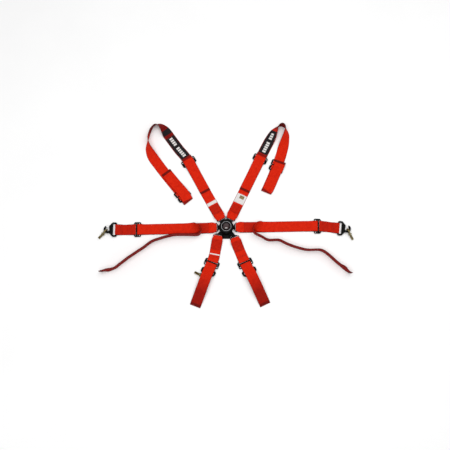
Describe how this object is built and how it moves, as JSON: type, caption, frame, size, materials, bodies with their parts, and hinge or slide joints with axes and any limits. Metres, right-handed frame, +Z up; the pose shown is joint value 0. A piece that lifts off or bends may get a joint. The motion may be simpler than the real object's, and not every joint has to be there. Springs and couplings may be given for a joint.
{
  "type": "racing harness",
  "caption": "Racing harness with webbing shoulder, lap and leg belts, slide adjusters, snap hooks and eyebolts on one rotary cam-lock buckle, laid out flat.",
  "frame": {"origin": "middle of the buckle's back face, on the surface the harness lies on", "axes": "+X along the right lap belt, +Y between the two shoulder belts, +Z up out of the buckle's front, away from the surface"},
  "size_m": [1.1763, 0.8884, 0.0558],
  "materials": {
    "webbing": "woven polyester webbing, satin sheen",
    "patch": "woven black patch, sewn on",
    "black_steel": "black powder coat, slightly worn edges",
    "black_housing": "black anodised, satin",
    "plain_steel": "zinc plated, satin",
    "zinc_steel": "yellow zinc plated",
    "cap": "dark maroon moulded insert"
  },
  "bodies": {
    "buckle": {"buckle_back_plate": "black_steel", "buckle_leg_guide": "black_housing", "buckle_housing": "black_housing", "buckle_centre_post": "plain_steel", "buckle_knob_spring": "plain_steel", "lap_left_tongue": "black_steel", "lap_left_belt": "webbing", "lap_left_anchor_strap": "webbing", "lap_left_adjuster_frame": "black_steel", "lap_left_snap_hook": "black_steel"},
    "knob": {"buckle_knob": "black_housing", "buckle_knob_cap": "cap", "buckle_cam_ring": "plain_steel"},
    "lock_plate": {"buckle_lock_plate": "plain_steel"},
    "lap_left_adjuster_bar": {"lap_left_adjuster_bar": "black_steel"},
    "lap_left_hook_latch": {"lap_left_hook_latch": "plain_steel"},
    "lap_left_eyebolt": {"lap_left_eyebolt": "zinc_steel"},
    "lap_right": {"lap_right_tongue": "black_steel", "lap_right_belt": "webbing", "lap_right_anchor_strap": "webbing", "lap_right_adjuster_frame": "black_steel", "lap_right_snap_hook": "black_steel"},
    "lap_right_adjuster_bar": {"lap_right_adjuster_bar": "black_steel"},
    "lap_right_hook_latch": {"lap_right_hook_latch": "plain_steel"},
    "lap_right_eyebolt": {"lap_right_eyebolt": "zinc_steel"},
    "shoulder_left": {"shoulder_left_tongue": "black_steel", "shoulder_left_front_strap": "webbing", "shoulder_left_long_belt": "webbing", "shoulder_left_patch": "patch", "shoulder_left_adjuster_frame": "black_steel", "shoulder_left_snap_hook": "black_steel", "shoulder_left_rear_slide": "black_steel"},
    "shoulder_left_adjuster_bar": {"shoulder_left_adjuster_bar": "black_steel"},
    "shoulder_left_hook_latch": {"shoulder_left_hook_latch": "plain_steel"},
    "shoulder_right": {"shoulder_right_tongue": "black_steel", "shoulder_right_front_strap": "webbing", "shoulder_right_long_belt": "webbing", "shoulder_right_patch": "patch", "shoulder_right_adjuster_frame": "black_steel", "shoulder_right_snap_hook": "black_steel", "shoulder_right_rear_slide": "black_steel"},
    "shoulder_right_adjuster_bar": {"shoulder_right_adjuster_bar": "black_steel"},
    "shoulder_right_hook_latch": {"shoulder_right_hook_latch": "plain_steel"},
    "leg_left": {"leg_left_tongue": "black_steel", "leg_left_strap": "webbing", "leg_left_belt": "webbing", "leg_left_adjuster_frame": "black_steel", "leg_left_snap_hook": "black_steel"},
    "leg_left_adjuster_bar": {"leg_left_adjuster_bar": "black_steel"},
    "leg_left_hook_latch": {"leg_left_hook_latch": "plain_steel"},
    "leg_left_eyebolt": {"leg_left_eyebolt": "zinc_steel"},
    "leg_right": {"leg_right_tongue": "black_steel", "leg_right_strap": "webbing", "leg_right_belt": "webbing", "leg_right_adjuster_frame": "black_steel", "leg_right_snap_hook": "black_steel"},
    "leg_right_adjuster_bar": {"leg_right_adjuster_bar": "black_steel"},
    "leg_right_hook_latch": {"leg_right_hook_latch": "plain_steel"},
    "leg_right_eyebolt": {"leg_right_eyebolt": "zinc_steel"}
  },
  "joints": [
    {"name": "knob_turn", "type": "hinge", "parent": "buckle", "child": "knob", "pos_m": [0, 0, 0.0245], "axis": [0, 0, 1], "range_deg": [0, 60], "stiffness_Nm_per_rad": 0.3},
    {"name": "lock_plate_lift", "type": "slide", "parent": "buckle", "child": "lock_plate", "axis": [0, 0, 1], "range_m": [0, 0.0041]},
    {"name": "lap_left_adjuster_bar_slide", "type": "slide", "parent": "buckle", "child": "lap_left_adjuster_bar", "axis": [0.9998, 0.0198, 0], "range_m": [0, 0.003]},
    {"name": "lap_left_hook_latch_pivot", "type": "hinge", "parent": "buckle", "child": "lap_left_hook_latch", "pos_m": [-0.54191, 0.00318, 0.01252], "axis": [0.1701, 0.0017, 0.9854], "range_deg": [0, 22], "stiffness_Nm_per_rad": 0.02},
    {"name": "lap_left_eyebolt_swing", "type": "hinge", "parent": "buckle", "child": "lap_left_eyebolt", "pos_m": [-0.55544, -0.01983, 0.0149], "axis": [-0.7143, 0.6999, 0], "range_deg": [0, 75]},
    {"name": "lap_right_release", "type": "slide", "parent": "buckle", "child": "lap_right", "axis": [0.9999, 0.0157, 0], "range_m": [0, 0.025]},
    {"name": "lap_right_adjuster_bar_slide", "type": "slide", "parent": "lap_right", "child": "lap_right_adjuster_bar", "axis": [-0.9999, 0.0139, 0], "range_m": [0, 0.003]},
    {"name": "lap_right_hook_latch_pivot", "type": "hinge", "parent": "lap_right", "child": "lap_right_hook_latch", "pos_m": [0.55257, 0.00651, 0.01275], "axis": [0.1751, -0.0219, -0.9843], "range_deg": [0, 22], "stiffness_Nm_per_rad": 0.02},
    {"name": "lap_right_eyebolt_swing", "type": "hinge", "parent": "lap_right", "child": "lap_right_eyebolt", "pos_m": [0.56147, -0.01915, 0.0149], "axis": [-0.8839, -0.4676, 0], "range_deg": [0, 75]},
    {"name": "shoulder_left_release", "type": "slide", "parent": "buckle", "child": "shoulder_left", "axis": [-0.4894, 0.8721, 0], "range_m": [0, 0.025]},
    {"name": "shoulder_left_adjuster_bar_slide", "type": "slide", "parent": "shoulder_left", "child": "shoulder_left_adjuster_bar", "axis": [-0.5207, 0.8538, 0], "range_m": [0, 0.003]},
    {"name": "shoulder_left_hook_latch_pivot", "type": "hinge", "parent": "shoulder_left", "child": "shoulder_left_hook_latch", "pos_m": [-0.22195, 0.15956, 0.00397], "axis": [0.0454, -0.0552, -0.9974], "range_deg": [0, 22], "stiffness_Nm_per_rad": 0.02},
    {"name": "shoulder_right_release", "type": "slide", "parent": "buckle", "child": "shoulder_right", "axis": [0.4321, 0.9018, 0], "range_m": [0, 0.025]},
    {"name": "shoulder_right_adjuster_bar_slide", "type": "slide", "parent": "shoulder_right", "child": "shoulder_right_adjuster_bar", "axis": [0.4369, 0.8995, 0], "range_m": [0, 0.003]},
    {"name": "shoulder_right_hook_latch_pivot", "type": "hinge", "parent": "shoulder_right", "child": "shoulder_right_hook_latch", "pos_m": [0.23153, 0.31256, 0.00397], "axis": [-0.0264, -0.0664, -0.9974], "range_deg": [0, 22], "stiffness_Nm_per_rad": 0.02},
    {"name": "leg_left_release", "type": "slide", "parent": "buckle", "child": "leg_left", "axis": [-0.6691, -0.7431, 0], "range_m": [0, 0.025]},
    {"name": "leg_left_adjuster_bar_slide", "type": "slide", "parent": "leg_left", "child": "leg_left_adjuster_bar", "axis": [-0.3753, -0.9269, 0], "range_m": [0, 0.003]},
    {"name": "leg_left_hook_latch_pivot", "type": "hinge", "parent": "leg_left", "child": "leg_left_hook_latch", "pos_m": [-0.07825, -0.23476, 0.01415], "axis": [-0.0801, -0.2009, -0.9763], "range_deg": [0, 22], "stiffness_Nm_per_rad": 0.02},
    {"name": "leg_left_eyebolt_swing", "type": "hinge", "parent": "leg_left", "child": "leg_left_eyebolt", "pos_m": [-0.1043, -0.22799, 0.0149], "axis": [0.45, 0.893, 0], "range_deg": [0, 30]},
    {"name": "leg_right_release", "type": "slide", "parent": "buckle", "child": "leg_right", "axis": [0.6157, -0.788, 0], "range_m": [0, 0.025]},
    {"name": "leg_right_adjuster_bar_slide", "type": "slide", "parent": "leg_right", "child": "leg_right_adjuster_bar", "axis": [0.4144, -0.9101, 0], "range_m": [0, 0.003]},
    {"name": "leg_right_hook_latch_pivot", "type": "hinge", "parent": "leg_right", "child": "leg_right_hook_latch", "pos_m": [0.12777, -0.22248, 0.01217], "axis": [0.07, -0.1441, -0.9871], "range_deg": [0, 22], "stiffness_Nm_per_rad": 0.02},
    {"name": "leg_right_eyebolt_swing", "type": "hinge", "parent": "leg_right", "child": "leg_right_eyebolt", "pos_m": [0.1189, -0.24549, 0.0149], "axis": [-0.9947, -0.1029, 0], "range_deg": [0, 12]}
  ],
  "couplings": [
    {"joint": "lock_plate_lift", "follows": "knob_turn", "m_per_rad": 0.0038}
  ]
}
